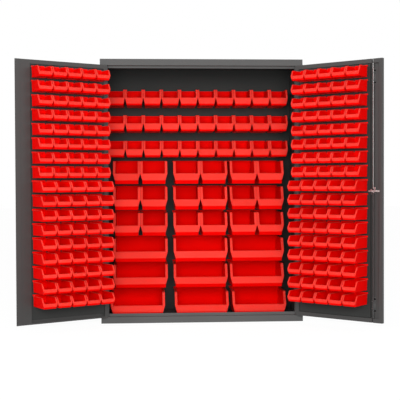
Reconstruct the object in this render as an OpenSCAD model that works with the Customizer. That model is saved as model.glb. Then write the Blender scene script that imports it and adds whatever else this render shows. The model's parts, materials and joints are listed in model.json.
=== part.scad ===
// Steel bin cabinet: a welded body with a louvered back, two louvered doors that hang open,
// rows of red hopper bins hooked on the louver tongues, and a rod lock on the right door.
// The origin is on the ground under the middle of the body. The doors face -Y, and +Z is up.

/* [Body] */
// Width of the body
cab_w = 1524; // [1450:1:1650]
// Height of the body
cab_h = 1981; // [1930:1:2100]
// Depth of the body
cab_d = 610; // [606:1:700]
// Thickness of the body sheet
body_sheet = 1.9; // [1.5:0.1:2.5]
// Face width of each door jamb
jamb_w = 40; // [32:1:55]
// Face height of the header over the doors
header_h = 48; // [40:1:65]
// Face height of the sill under the doors
sill_h = 48; // [42:1:56]
// Height of the cabinet floor above the ground
floor_h = 14; // [12:1:16]
// Reach of the stop strip into the door opening
stop_w = 18; // [10:1:25]
// Height of the stop strip over the sill
sill_stop = 22; // [15:1:26]
// Depth of the stop strip behind the front face
stop_set = 30; // [29:1:45]
// Width of each channel under the floor
channel_w = 80; // [50:1:110]
// Width of the flanges of each channel
channel_lap = 20; // [10:1:25]
// Spacing of the channels under the floor
channel_pitch = 170; // [140:1:200]

/* [Doors] */
// Thickness of each door
door_t = 25.4; // [24:0.1:28]
// Thickness of the door sheet
door_sheet = 1.5; // [1.2:0.1:2]
// Gap around and between the doors
door_gap = 3.4; // [3:0.1:5]
// Width of the return flange inside the door rim
return_w = 30; // [20:1:36]
// Width of the return flange at the free edge of the left door
left_stile_w = 72; // [45:1:80]
// Opening angle of the left door
left_open = 150; // [100:1:180]
// Opening angle of the right door
right_open = 139; // [100:1:180]
// Reach of the astragal past the free edge of the left door
astragal_reach = 18; // [12:1:20]
// Width of the astragal on the left door
astragal_seat = 30; // [20:1:40]
// Thickness of the astragal strip
astragal_t = 1.9; // [1.5:0.1:2.5]
// Room between the astragal and the right door
astragal_clear = 0.6; // [0.4:0.1:0.9]

/* [Hinges] */
// Number of hinges on each door
hinge_count = 3; // [2:1:5]
// Length of each hinge
hinge_l = 100; // [70:1:140]
// Distance of the end hinges from the ends of the door
hinge_set = 160; // [100:1:250]
// Number of knuckles in each hinge
knuckle_count = 5; // [3:2:7]
// Radius of the knuckles
knuckle_r = 5.5; // [5:0.1:7]
// Radius of the hinge pin
pin_r = 3; // [2:0.1:4]
// Radius of the pin head
pin_head_r = 4.5; // [4.2:0.1:5]
// Height of the pin head
pin_head_h = 2.5; // [1.5:0.1:4]
// Depth of each leaf along the door edge
leaf_d = 20; // [14:1:22]
// Running clearance of the pin
pin_clear = 0.06; // [0.02:0.01:0.1]
// Gap between neighbouring knuckles and between the leaves
leaf_clear = 0.4; // [0.3:0.1:0.6]
// Room around the knuckles
knuckle_clear = 1; // [0.6:0.1:2]

/* [Louvers] */
// Thickness of the louver sheet
louver_sheet = 1.2; // [1:0.1:1.8]
// Depth of the door louver face behind the outer face of the door
door_louver_t = 20; // [17:0.1:22]
// Distance of the back louver face from the back sheet
back_louver_t = 7; // [5:0.1:9]
// Margin of the door louver panel at the top and bottom of the door
louver_margin = 34; // [32:1:45]
// Margin of the back louver panel at the sides, floor and top
back_margin = 4; // [2:1:10]
// Distance from the top of a door louver panel to its first rim
louver_head = 18; // [16:1:25]
// Least space beside the bins on a door louver panel
louver_side = 10; // [8:1:20]
// Room behind each tongue
hang_gap = 3.5; // [3:0.1:4.5]
// Thickness of each tongue
tongue_t = 1.5; // [1.2:0.1:2]
// Height of each tongue
tongue_h = 8; // [7:0.1:9]
// Width of each tongue
tongue_w = 60; // [40:1:80]
// Clearance of a bin hook at its tongue
hang_clear = 0.55; // [0.4:0.05:0.7]
// Height of a hook over its tongue
seat_clear = 0.3; // [0.2:0.05:0.5]

/* [Bin walls] */
// Wall of the bins
bin_wall = 2.6; // [2:0.1:3.5]
// Floor of the bins
bin_floor = 2.8; // [2:0.1:4]
// Thickness of the rim flange
rim_t = 3; // [2:0.1:4]
// Draft angle of the bin sides
draft = 1.5; // [0.5:0.1:3]
// Undercut angle below the front lip
undercut = 18; // [8:1:25]
// Backward lean of the front lip
lip_lean = 4; // [1:1:8]
// Height of the hanger over the rim
hanger_rise = 9; // [5:0.1:10]
// Inset of the hanger from each side of a bin
hook_in = 9; // [8:1:15]
// Thickness of the hook over the tongue
hook_t = 2.5; // [2:0.1:3.5]
// Drop of the hook behind the tongue
hook_drop = 6.5; // [5:0.1:6.8]

/* [Door bins] */
// Width of a door bin
door_bin_w = 104.8; // [90:0.1:125]
// Height of a door bin
door_bin_h = 76.2; // [65:0.1:90]
// Depth of a shallow door bin
shallow_bin_d = 136.5; // [110:0.1:180]
// Depth of a deep door bin
deep_bin_d = 187.3; // [150:0.1:190]
// Lip height of a door bin
door_bin_lip = 35; // [25:0.1:45]
// Height of the undercut of a door bin
door_bin_foot = 13; // [8:0.1:18]
// Width of the rim flange of a door bin
door_bin_flange = 6; // [4:0.1:8]
// Length of the level rim of a shallow door bin
shallow_bin_rim = 86; // [60:0.1:95]
// Length of the level rim of a deep door bin
deep_bin_rim = 128; // [90:0.1:140]
// Gap between door bins
door_bin_gap = 8.2; // [4:0.1:15]
// Gap between rows of door bins
door_row_gap = 25.1; // [21:0.1:35]
// Rows of shallow bins on each door
shallow_rows = 8; // [4:1:10]

/* [Upper bins] */
// Width of an upper bin
upper_bin_w = 139.7; // [120:0.1:160]
// Depth of an upper bin
upper_bin_d = 276.2; // [220:0.1:320]
// Height of an upper bin
upper_bin_h = 127; // [110:0.1:140]
// Lip height of an upper bin
upper_bin_lip = 60; // [45:0.1:75]
// Height of the undercut of an upper bin
upper_bin_foot = 14; // [10:0.1:30]
// Width of the rim flange of an upper bin
upper_bin_flange = 8; // [5:0.1:10]
// Length of the level rim of an upper bin
upper_bin_rim = 180; // [140:0.1:200]
// Gap between upper bins
upper_bin_gap = 2.9; // [2:0.1:8]
// Least space beside a row of upper bins
upper_side = 30; // [20:1:60]
// Offset of the upper rows from the middle
upper_shift = -13; // [-15:1:15]

/* [Lower bins] */
// Width of a wide bin
wide_bin_w = 419.1; // [390:0.1:440]
// Width of a half bin
half_bin_w = 208; // [190:0.1:218]
// Depth of the lower bins
lower_bin_d = 374.6; // [300:0.1:376]
// Height of the lower bins
lower_bin_h = 177.8; // [160:0.1:180]
// Lip height of a lower bin
lower_bin_lip = 81; // [65:0.1:100]
// Height of the undercut of a lower bin
lower_bin_foot = 30; // [18:0.1:40]
// Width of the rim flange of a lower bin
lower_bin_flange = 12; // [8:0.1:14]
// Length of the level rim of a lower bin
lower_bin_rim = 262; // [200:0.1:280]
// Gap between the half bins of a pair
pair_gap = 3; // [2:0.1:6]
// Share of the free width between the left and middle columns
left_col_share = 0.183; // [0.08:0.001:0.3]
// Share of the free width between the middle and right columns
right_col_share = 0.087; // [0.08:0.001:0.3]
// Offset of the lowest row from the middle, as a share of the free width
low_shift_share = 0.03; // [-0.04:0.001:0.04]
// Share of the free width between the left and middle bins of the lowest row
low_left_share = 0.3; // [0.08:0.001:0.3]
// Share of the free width between the middle and right bins of the lowest row
low_right_share = 0.122; // [0.08:0.001:0.3]
// Tongues behind each wide bin
wide_tongues = 4; // [2:1:5]
// Tongues behind each half bin
half_tongues = 2; // [1:1:2]

/* [Back rows] */
// Spacing of the rows of lower bins
row_pitch = 201.6; // [200:0.1:206]
// Spacing of the rows of upper bins, as a share of the height above the lower bins
upper_row_share = 0.3003; // [0.29:0.0001:0.33]
// Space between the floor and the lowest bins
floor_gap = 6; // [5:0.1:8]
// Extra drop of the lowest row
low_drop = 16.6; // [0:0.1:20]
// Extra space between the lower and the upper bins
block_gap = 11.4; // [8:0.1:16]

/* [Lock] */
// Distance of the lock rods from the free edge of the right door
rod_set = 76; // [70:1:85]
// Radius of the lock rods
rod_r = 4; // [3:0.1:4.5]
// Depth of the rods behind the outer face of the door
rod_t = 14; // [12.5:0.1:15]
// Space between the louver panel and the rod guides and feet
rod_side = 1; // [0.6:0.1:3]
// Reach of the rods past the door when unlocked
rod_reach = 1.5; // [0.5:0.1:2]
// Radius of the handle spindle
spindle_r = 4; // [3:0.1:4.2]
// Radius of the cam pins about the spindle
crank_r = 14; // [13.5:0.1:16]
// Angle of the cam pins from level when unlocked
cam_rest = 45; // [40:1:45]
// Radius of each cam pin
cam_pin_r = 2; // [1.5:0.1:2.2]
// Thickness of the cam plate
cam_t = 3; // [2:0.1:4]
// Depth of the cam plate behind the inner face of the door
cam_set = 1; // [0.6:0.1:2]
// Height of the cam bar
cam_bar_h = 12; // [10:1:14]
// Length of the cam bar towards the free edge
cam_bar_free = 57; // [40:1:57]
// Length of the cam bar towards the bins
cam_bar_back = 31; // [20:1:33]
// Thickness of the rod feet
foot_t = 3; // [2:0.1:4]
// Wall of the rod feet around their slots
foot_wall = 2.2; // [1.8:0.1:2.4]
// Height of the rod end over the spindle
rod_end = 17; // [16.5:0.1:20]
// Length of the joint of a rod and its foot
foot_lap = 10; // [6:0.1:14]
// Clearance of a cam pin in its slot
slot_clear = 0.8; // [0.6:0.05:0.9]
// Sliding clearance of the rods and the spindle
slide_clear = 0.1; // [0.05:0.01:0.1]
// Clearance of the rods in the keeper holes and the door rim
keeper_clear = 1; // [0.5:0.1:1.5]
// Distance of the rod guides from the ends of the door
guide_set = 125; // [90:1:180]
// Length of each rod guide
guide_l = 110; // [90:1:130]
// Width of each rod guide beside the rod
guide_w = 12; // [9:0.1:14]
// Thickness of the guide base
guide_t = 2; // [1.5:0.1:3]
// Thickness of the guide ears
ear_t = 3; // [2:0.1:5]
// Spacing of the ears of a guide
ear_pitch = 50; // [30:1:60]
// Spacing of the screws of a guide
screw_pitch = 86; // [70:1:90]
// Radius of the guide screws
screw_r = 2.5; // [2:0.1:3]
// Radius of the screw heads
screw_head_r = 4.5; // [3.6:0.1:5]
// Height of the screw heads
screw_head_h = 2.6; // [1.5:0.1:4]

/* [Handle] */
// Width of the plate behind the handle
plate_w = 42; // [34:1:56]
// Height of the plate behind the handle
plate_h = 130; // [90:1:170]
// Thickness of the plate behind the handle
plate_t = 4; // [2:0.1:6]
// Radius of the handle hub
hub_r = 15; // [12:0.1:18]
// Height of the handle hub
hub_h = 30; // [24:0.1:40]
// Length of the lever from the spindle
lever_l = 110; // [80:1:140]
// Width of the lever
lever_w = 18; // [12:0.1:22]
// Thickness of the lever
lever_t = 12; // [8:0.1:16]
// Gap between the hub and its plate
hub_gap = 0.4; // [0.3:0.1:1]
// Radius of the lock cylinder in the hub
cylinder_r = 9; // [7:0.1:11]
// Depth of the lock cylinder in the hub
cylinder_d = 8; // [5:0.1:10]
// Height of the lock cylinder over the hub
cylinder_lift = 1; // [0.5:0.1:2]
// Width of the key slot
key_w = 1.6; // [1:0.1:2]
// Length of the key slot
key_l = 9; // [6:0.1:11]
// Depth of the key slot
key_d = 4; // [2:0.1:5]

/* [Hidden] */
$fn = 48;
// Overlap of cuts past a face
eps = 1;

front_y = -cab_d / 2;
back_y = cab_d / 2;
side_in = cab_w / 2 - body_sheet;
open_half = cab_w / 2 - jamb_w;
open_top = cab_h - header_h;
stop_half = open_half - stop_w;

hinge_x = open_half - door_gap / 2;
hinge_out = knuckle_r + knuckle_clear;
leaf_t = (door_gap - leaf_clear) / 2;
door_near = door_gap / 2;
door_far = hinge_x - door_gap / 2;
door_w = door_far - door_near;
door_z0 = sill_h + door_gap;
door_z1 = open_top - door_gap;
door_h = door_z1 - door_z0;
door_in = hinge_out + door_t;
skin_in = hinge_out + door_sheet;

standoff = hang_gap + tongue_t + hang_clear;
hook_reach = standoff - hang_clear;
hook_lip_t = hang_gap - 2 * hang_clear;

cam_y = door_in + cam_set;
crank_side = crank_r * cos(cam_rest);
crank_drop = crank_r * sin(cam_rest);
slot_half = cam_pin_r + slot_clear;
foot_near = crank_side - slot_half - foot_wall;
foot_far = crank_r + slot_half + foot_wall;
foot_drop = crank_drop + slot_half + foot_wall;

handle_z = (door_z0 + door_z1) / 2;
rod_u = door_far - rod_set;
rod_y = hinge_out + rod_t;
panel_u0 = door_near + return_w + leaf_clear;
panel_u1 = rod_u - max(guide_w, foot_far) - rod_side;
panel_mid = (panel_u0 + panel_u1) / 2;
panel_z0 = door_z0 + louver_margin;
panel_z1 = door_z1 - louver_margin;
panel_face = hinge_out + door_louver_t;

door_col_pitch = door_bin_w + door_bin_gap;
door_row_pitch = door_bin_h + door_row_gap;
door_cols = floor((panel_u1 - panel_u0 - 2 * louver_side + door_bin_gap) / door_col_pitch);
door_rows = floor((panel_z1 - louver_head - panel_z0) / door_row_pitch);
deep_rows = door_rows - shallow_rows;
shallow_banks = 4;
deep_banks = 3;

upper_pitch = upper_bin_w + upper_bin_gap;
upper_cols = floor((2 * side_in - 2 * upper_side) / upper_pitch);
col_count = 3;
col_w = max(wide_bin_w, 2 * half_bin_w + pair_gap);
free_w = 2 * side_in - col_count * col_w;
low_mid = low_shift_share * free_w;
lower_cols = [-col_w - left_col_share * free_w, 0, col_w + right_col_share * free_w];
low_cols = [low_mid - col_w - low_left_share * free_w, low_mid, low_mid + col_w + low_right_share * free_w];
last_col = col_count - 1;
lower_rows = 3;
low_row = lower_rows - 1;
low_z = floor_h + floor_gap;
wide_z = low_z + low_drop;
half_z = wide_z + lower_rows * row_pitch;
upper_z = half_z + lower_rows * row_pitch + block_gap;
upper_rows = 3;
back_top = open_top - back_margin;
upper_row_pitch = upper_row_share * (back_top - upper_z);
back_face = back_y - body_sheet - back_louver_t;

steel = "#4c4c4a";
dark_steel = "#383a39";
bin_red = "#d80f0f";
zinc = "#b9bab6";
chrome = "#d5d7d9";

// Heights of the bin bottoms, counted from the top row down
function door_row_z(row) = panel_z1 - louver_head - door_bin_h - row * door_row_pitch;
function upper_row_z(row) = upper_z + (upper_rows - 1 - row) * upper_row_pitch;
function half_row_z(row) = half_z + (low_row - row) * row_pitch;
function wide_row_z(row) = row == low_row ? low_z : wide_z + (low_row - row) * row_pitch;
// Middle of each bin along a row
function door_col_u(col) = panel_mid + (col - (door_cols - 1) / 2) * door_col_pitch;
function upper_col_x(col) = upper_shift + (col - (upper_cols - 1) / 2) * upper_pitch;
function wide_col_x(row, col) = row == low_row ? low_cols[col] : lower_cols[col];
function half_col_x(col, side) = lower_cols[col] + side * (half_bin_w + pair_gap) / 2;
// Rows of a door that belong to one bank
function shallow_bank(bank) = [
    for (row = [0 : shallow_rows - 1]) if (floor(row * shallow_banks / shallow_rows) == bank) row
];
function deep_bank(bank) = [
    for (row = [0 : deep_rows - 1]) if (floor(row * deep_banks / deep_rows) == bank) shallow_rows + row
];
// Middle of each hinge
function hinge_z(i) = door_z0 + hinge_set + i * (door_h - 2 * hinge_set) / (hinge_count - 1);

// Carries a profile drawn in Y and Z along X
module along_x(length) {
    rotate([90, 0, 90]) linear_extrude(length, center = true) children();
}

// Carries a profile drawn in X and Z along Y, from y0 to y1
module along_y(y0, y1) {
    translate([0, y1, 0]) rotate([90, 0, 0]) linear_extrude(y1 - y0) children();
}

// A box from one corner to the opposite one
module box(low, high) {
    translate(low) cube(high - low);
}

// Place of the closed doors, turned open about their hinge axes: X runs from the axis
// to the free edge, Y runs into the cabinet
module on_left_hinge(angle) {
    translate([-hinge_x, front_y - hinge_out, 0]) rotate([0, 0, -angle]) children();
}

module on_right_hinge(angle) {
    mirror([1, 0, 0]) on_left_hinge(angle) children();
}

module on_left_door() {
    on_left_hinge(left_open) children();
}

module on_right_door() {
    on_right_hinge(right_open) children();
}

// A hopper bin: its back is at y = 0, its front faces +Y and its bottom is at z = 0
module bin(w, d, h, lip, foot, rim, flange) {
    lean = (lip - foot) * tan(lip_lean);
    set = foot * tan(undercut);
    top_half = w / 2 - flange;
    taper = h * tan(draft);
    floor_taper = (h - bin_floor) * tan(draft);
    over = eps * tan(draft);
    hook_z = h + hanger_rise;
    hook_low = hook_z - hook_t - hook_drop;
    difference() {
        union() {
            intersection() {
                along_x(w) polygon([[0, 0], [d - set, 0], [d, foot], [d - lean, lip], [rim, h], [0, h]]);
                along_y(0, d) polygon([
                    [taper - top_half, 0], [top_half - taper, 0], [top_half, h], [-top_half, h]
                ]);
            }
            along_x(w) polygon([
                [0, h], [0, h - rim_t], [rim - rim_t, h - rim_t], [d - lean - rim_t, lip - rim_t],
                [d - lean, lip], [rim, h]
            ]);
            along_x(w - 2 * hook_in) polygon([
                [bin_wall, h - rim_t], [bin_wall, hook_z], [-hook_reach, hook_z], [-hook_reach, hook_low],
                [hook_lip_t - hook_reach, hook_low], [hook_lip_t - hook_reach, hook_z - hook_t],
                [0, hook_z - hook_t], [0, h - rim_t]
            ]);
        }
        intersection() {
            along_x(w) polygon([
                [bin_wall, bin_floor], [d - set - bin_wall + bin_floor * tan(undercut), bin_floor],
                [d - bin_wall, foot], [d - lean - bin_wall, lip], [d - lean - bin_wall, h + eps],
                [bin_wall, h + eps]
            ]);
            along_y(0, d) polygon([
                [floor_taper + bin_wall - top_half, bin_floor],
                [top_half - bin_wall - floor_taper, bin_floor],
                [top_half - bin_wall + over, h + eps], [bin_wall - top_half - over, h + eps]
            ]);
        }
    }
}

// Bins of each size
module shallow_bin() {
    bin(door_bin_w, shallow_bin_d, door_bin_h, door_bin_lip, door_bin_foot, shallow_bin_rim, door_bin_flange);
}

module deep_bin() {
    bin(door_bin_w, deep_bin_d, door_bin_h, door_bin_lip, door_bin_foot, deep_bin_rim, door_bin_flange);
}

module upper_bin() {
    bin(
        upper_bin_w, upper_bin_d, upper_bin_h, upper_bin_lip, upper_bin_foot, upper_bin_rim, upper_bin_flange
    );
}

module lower_bin(w) {
    bin(w, lower_bin_d, lower_bin_h, lower_bin_lip, lower_bin_foot, lower_bin_rim, lower_bin_flange);
}

// A bin on the back panel, facing the doors
module on_back(x, z) {
    translate([x, back_face - standoff, z]) rotate([0, 0, 180]) children();
}

// One louver tongue on a face at y = 0, under the hook of a bin of this height
module tongue(bin_h) {
    top = bin_h + hanger_rise - hook_t - seat_clear;
    along_x(tongue_w) polygon([
        [-louver_sheet / 2, top - tongue_h - tongue_t], [hang_gap + tongue_t, top - tongue_h - tongue_t],
        [hang_gap + tongue_t, top], [hang_gap, top], [hang_gap, top - tongue_h],
        [-louver_sheet / 2, top - tongue_h]
    ]);
}

// An even row of tongues behind one bin
module tongue_row(bin_w, bin_h, count) {
    pitch = bin_w / count;
    for (i = [0 : count - 1]) translate([(i - (count - 1) / 2) * pitch, 0, 0]) tongue(bin_h);
}

module side_panel() {
    corner_x = open_half + body_sheet;
    stop_y = front_y + stop_set;
    box([side_in, front_y, 0], [cab_w / 2, back_y, cab_h]);
    box([open_half, front_y, 0], [cab_w / 2, front_y + body_sheet, cab_h]);
    box([open_half, front_y, 0], [corner_x, stop_y + body_sheet, cab_h - body_sheet]);
    box([stop_half, stop_y, 0], [corner_x, stop_y + body_sheet, cab_h - body_sheet]);
}

module left_side_panel() {
    color(steel) mirror([1, 0, 0]) side_panel();
}

module right_side_panel() {
    color(steel) side_panel();
}

module back_panel() {
    color(dark_steel) box([-side_in, back_y - body_sheet, 0], [side_in, back_y, cab_h - body_sheet]);
}

// Hole for a lock rod in the header or the sill, where the closed right door puts it
module keeper_hole(z0, z1) {
    translate([hinge_x - rod_u, front_y + rod_t, z0]) cylinder(r = rod_r + keeper_clear, h = z1 - z0);
}

module top_panel() {
    stop_y = front_y + stop_set;
    color(steel) difference() {
        union() {
            box([-side_in, front_y + body_sheet, cab_h - body_sheet], [side_in, back_y, cab_h]);
            box([-open_half, front_y, open_top], [open_half, front_y + body_sheet, cab_h]);
            box([-open_half, front_y, open_top], [open_half, stop_y, open_top + body_sheet]);
            box(
                [-stop_half, stop_y, open_top - stop_w],
                [stop_half, stop_y + body_sheet, open_top + body_sheet]
            );
        }
        keeper_hole(open_top - eps, open_top + body_sheet + eps);
    }
}

module base_pan() {
    stop_y = front_y + stop_set;
    stop_back = stop_y + body_sheet;
    floor_z = floor_h - body_sheet;
    color(steel) difference() {
        union() {
            box([-open_half, front_y, 0], [open_half, front_y + body_sheet, sill_h]);
            box([-open_half, front_y, sill_h - body_sheet], [open_half, stop_y, sill_h]);
            box([-stop_half, stop_y, floor_z], [stop_half, stop_back, sill_h + sill_stop]);
            box([-side_in, stop_back, floor_z], [side_in, back_y - body_sheet, floor_h]);
        }
        keeper_hole(sill_h - body_sheet - eps, sill_h + eps);
    }
}

// Channels under the floor, with their webs on the ground
module base_channels() {
    wall_z = floor_h - body_sheet;
    half = channel_w / 2;
    wing = half + channel_lap;
    color(dark_steel) for (i = [-1 : 1]) translate([0, i * channel_pitch, 0]) along_x(2 * side_in) polygon([
        [-half, 0], [half, 0], [half, wall_z - body_sheet], [wing, wall_z - body_sheet],
        [wing, wall_z], [half - body_sheet, wall_z], [half - body_sheet, body_sheet],
        [body_sheet - half, body_sheet], [body_sheet - half, wall_z], [-wing, wall_z],
        [-wing, wall_z - body_sheet], [-half, wall_z - body_sheet]
    ]);
}

module back_louver_panel() {
    half = side_in - back_margin;
    z0 = floor_h + back_margin;
    sheet_back = back_y - body_sheet;
    color(dark_steel) {
        difference() {
            box([-half, back_face, z0], [half, sheet_back, back_top]);
            box(
                [louver_sheet - half, back_face + louver_sheet, z0 + louver_sheet],
                [half - louver_sheet, sheet_back + eps, back_top - louver_sheet]
            );
        }
        translate([0, back_face, 0]) rotate([0, 0, 180]) {
            for (row = [0 : upper_rows - 1]) for (col = [0 : upper_cols - 1])
                translate([-upper_col_x(col), 0, upper_row_z(row)]) tongue_row(upper_bin_w, upper_bin_h, 1);
            for (row = [0 : lower_rows - 1]) for (col = [0 : last_col]) {
                for (side = [-1, 1])
                    translate([-half_col_x(col, side), 0, half_row_z(row)])
                        tongue_row(half_bin_w, lower_bin_h, half_tongues);
                translate([-wide_col_x(row, col), 0, wide_row_z(row)])
                    tongue_row(wide_bin_w, lower_bin_h, wide_tongues);
            }
        }
    }
}

// Knuckle heights in a hinge: even ones belong to the frame leaf, odd ones to the door leaf
module knuckles(first) {
    pitch = hinge_l / knuckle_count;
    for (i = [first : 2 : knuckle_count - 1])
        translate([0, 0, i * pitch + leaf_clear / 2 - hinge_l / 2]) children();
}

// A leaf beside the hinge axis: side is 1 for the door leaf and -1 for the frame leaf
module hinge_leaf(side, first) {
    knuckle_h = hinge_l / knuckle_count - leaf_clear;
    x0 = side > 0 ? door_near - leaf_t : -door_near;
    leaf_y = hinge_out + leaf_d;
    difference() {
        union() {
            difference() {
                box([x0, 0, -hinge_l / 2], [x0 + leaf_t, leaf_y, hinge_l / 2]);
                translate([0, 0, -hinge_l / 2 - eps])
                    cylinder(r = knuckle_r + leaf_clear, h = hinge_l + 2 * eps);
            }
            knuckles(first) {
                cylinder(r = knuckle_r, h = knuckle_h);
                box([x0, 0, 0], [x0 + leaf_t, leaf_y, knuckle_h]);
            }
        }
        translate([0, 0, -hinge_l / 2 - eps]) cylinder(r = pin_r + pin_clear, h = hinge_l + 2 * eps);
    }
}

module each_hinge() {
    for (i = [0 : hinge_count - 1]) translate([0, 0, hinge_z(i)]) children();
}

module frame_hinge_leaves() {
    color(steel) {
        on_left_hinge(0) each_hinge() hinge_leaf(-1, 0);
        on_right_hinge(0) each_hinge() hinge_leaf(-1, 0);
    }
}

module hinge_pin() {
    translate([0, 0, -hinge_l / 2]) cylinder(r = pin_r, h = hinge_l);
    translate([0, 0, hinge_l / 2]) cylinder(r = pin_head_r, h = pin_head_h);
}

module hinge_pins() {
    color(zinc) {
        on_left_hinge(0) each_hinge() hinge_pin();
        on_right_hinge(0) each_hinge() hinge_pin();
    }
}

module left_door_hinge_leaves() {
    color(steel) on_left_door() each_hinge() hinge_leaf(1, 1);
}

module right_door_hinge_leaves() {
    color(steel) on_right_door() each_hinge() hinge_leaf(1, 1);
}

// A hollow door with a return flange around its inner face
module door_pan(free_return) {
    difference() {
        box([door_near, hinge_out, door_z0], [door_far, door_in, door_z1]);
        box(
            [door_near + door_sheet, skin_in, door_z0 + door_sheet],
            [door_far - door_sheet, door_in - door_sheet, door_z1 - door_sheet]
        );
        box(
            [door_near + return_w, door_in - door_sheet - eps, door_z0 + return_w],
            [door_far - free_return, door_in + eps, door_z1 - return_w]
        );
    }
}

module left_door_pan() {
    color(steel) on_left_door() door_pan(left_stile_w);
}

// The right door has a round-bottomed notch in each end for the lock rods
module right_door_pan() {
    notch = rod_r + keeper_clear;
    color(steel) on_right_door() difference() {
        door_pan(return_w);
        translate([rod_u, rod_y, door_z0 - eps]) {
            cylinder(r = notch, h = door_h + 2 * eps);
            box([-notch, 0, 0], [notch, door_in - rod_y + eps, door_h + 2 * eps]);
        }
        translate([rod_u, 0, handle_z])
            along_y(hinge_out - eps, skin_in + eps) circle(r = spindle_r + slide_clear);
    }
}

// A louvered pan inside a door, with a tongue for each bin
module door_louver_panel() {
    difference() {
        box([panel_u0, skin_in, panel_z0], [panel_u1, panel_face, panel_z1]);
        box(
            [panel_u0 + louver_sheet, skin_in - eps, panel_z0 + louver_sheet],
            [panel_u1 - louver_sheet, panel_face - louver_sheet, panel_z1 - louver_sheet]
        );
    }
    for (row = [0 : door_rows - 1]) for (col = [0 : door_cols - 1])
        translate([door_col_u(col), panel_face, door_row_z(row)]) tongue(door_bin_h);
}

module left_door_louver_panel() {
    color(dark_steel) on_left_door() door_louver_panel();
}

module right_door_louver_panel() {
    color(dark_steel) on_right_door() door_louver_panel();
}

// Strip on the left door that the right door closes over
module astragal() {
    z0 = door_z0 + return_w;
    z1 = door_z1 - return_w;
    color(steel) on_left_door() {
        box([door_far - astragal_seat, door_in, z0], [door_far, door_in + astragal_t, z1]);
        box([door_far, door_in + astragal_clear, z0], [door_far + astragal_reach, door_in + astragal_t, z1]);
    }
}

// Round-ended outline of the plate behind the handle
module plate_outline() {
    half = (plate_h - plate_w) / 2;
    square([plate_w, 2 * half], center = true);
    for (end = [-1, 1]) translate([0, end * half]) circle(d = plate_w);
}

// Place of the lock on the open right door, on the spindle axis
module on_spindle() {
    on_right_door() translate([rod_u, 0, handle_z]) children();
}

module handle_plate() {
    color(chrome) on_spindle() along_y(hinge_out - plate_t, hinge_out) difference() {
        plate_outline();
        circle(r = spindle_r + slide_clear);
    }
}

// Lever, hub and spindle in one piece; the lever lies level when unlocked
module door_handle() {
    hub_in = hinge_out - plate_t - hub_gap;
    hub_out = hub_in - hub_h;
    color(chrome) on_spindle() difference() {
        union() {
            along_y(hub_out, hub_in) circle(r = hub_r);
            along_y(hub_out, hub_out + lever_t) {
                translate([-lever_l, -lever_w / 2]) square([lever_l, lever_w]);
                translate([-lever_l, 0]) circle(d = lever_w);
            }
            along_y(hub_in - eps, cam_y + cam_t) circle(r = spindle_r);
        }
        along_y(hub_out - eps, hub_out + cylinder_d) circle(r = cylinder_r);
    }
}

module lock_cylinder() {
    hub_out = hinge_out - plate_t - hub_gap - hub_h;
    face = hub_out - cylinder_lift;
    color(zinc) on_spindle() difference() {
        along_y(face, hub_out + cylinder_d) circle(r = cylinder_r - slide_clear);
        along_y(face - eps, face + key_d) square([key_w, key_l], center = true);
    }
}

// Cam plate on the spindle: a level bar, and an arm that carries a pin for each rod
module lock_cam() {
    arm_w = 2 * (cam_pin_r + foot_wall);
    color(zinc) on_spindle() {
        along_y(cam_y, cam_y + cam_t) difference() {
            union() {
                translate([-cam_bar_back, -cam_bar_h / 2]) square([cam_bar_back + cam_bar_free, cam_bar_h]);
                circle(r = spindle_r + arm_w / 2);
                rotate(-cam_rest) square([2 * crank_r, arm_w], center = true);
                for (side = [-1, 1]) translate([side * crank_side, -side * crank_drop]) circle(d = arm_w);
            }
            circle(r = spindle_r + slide_clear);
        }
        for (side = [-1, 1]) translate([side * crank_side, 0, -side * crank_drop])
            along_y(rod_y - foot_t / 2 - eps, cam_y + eps) circle(r = cam_pin_r);
    }
}

// Upper rod and its slotted foot, about the spindle axis; travel is from there to the rod tip
module lock_rod(travel) {
    slot_mid = (crank_side + crank_r) / 2;
    translate([0, rod_y, rod_end]) cylinder(r = rod_r, h = travel - rod_end);
    along_y(rod_y - foot_t / 2, rod_y + foot_t / 2) difference() {
        union() {
            translate([foot_near, -foot_drop]) square([foot_far - foot_near, foot_drop + rod_end + foot_lap]);
            translate([-rod_r, rod_end]) square([rod_r + foot_far, foot_lap]);
        }
        translate([slot_mid, -crank_drop])
            square([crank_r - crank_side + 2 * slot_half, 2 * slot_half], center = true);
    }
}

module upper_lock_rod() {
    color(zinc) on_spindle() lock_rod(door_z1 + rod_reach - handle_z);
}

module lower_lock_rod() {
    color(zinc) on_spindle() rotate([0, 180, 0]) lock_rod(handle_z - door_z0 + rod_reach);
}

// Place of each rod guide on the right door
module each_guide() {
    for (z = [door_z0 + guide_set, door_z1 - guide_set])
        on_right_door() translate([rod_u, 0, z]) children();
}

module each_guide_screw() {
    for (side = [-1, 1])
        translate([guide_w - screw_head_r, 0, side * screw_pitch / 2]) children();
}

module rod_guides() {
    base = skin_in + guide_t;
    ear_y = rod_y + 2 * rod_r;
    color(zinc) each_guide() difference() {
        union() {
            box([-guide_w, skin_in, -guide_l / 2], [guide_w, base, guide_l / 2]);
            for (side = [-1, 1]) translate([0, 0, side * ear_pitch / 2])
                box([-guide_w, skin_in, -ear_t / 2], [guide_w, ear_y, ear_t / 2]);
        }
        translate([0, rod_y, -guide_l / 2]) cylinder(r = rod_r + slide_clear, h = guide_l);
        each_guide_screw() along_y(skin_in - eps, base + eps) circle(r = screw_r + slide_clear);
    }
}

module rod_guide_screws() {
    base = skin_in + guide_t;
    color(zinc) each_guide() each_guide_screw() {
        along_y(skin_in, base) circle(r = screw_r);
        along_y(base, base + screw_head_h) circle(r = screw_head_r);
    }
}

// Rows of bins on the back panel, the first row of each kind at the top
module upper_bins_row(row) {
    color(bin_red) for (col = [0 : upper_cols - 1]) on_back(upper_col_x(col), upper_row_z(row)) upper_bin();
}

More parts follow.
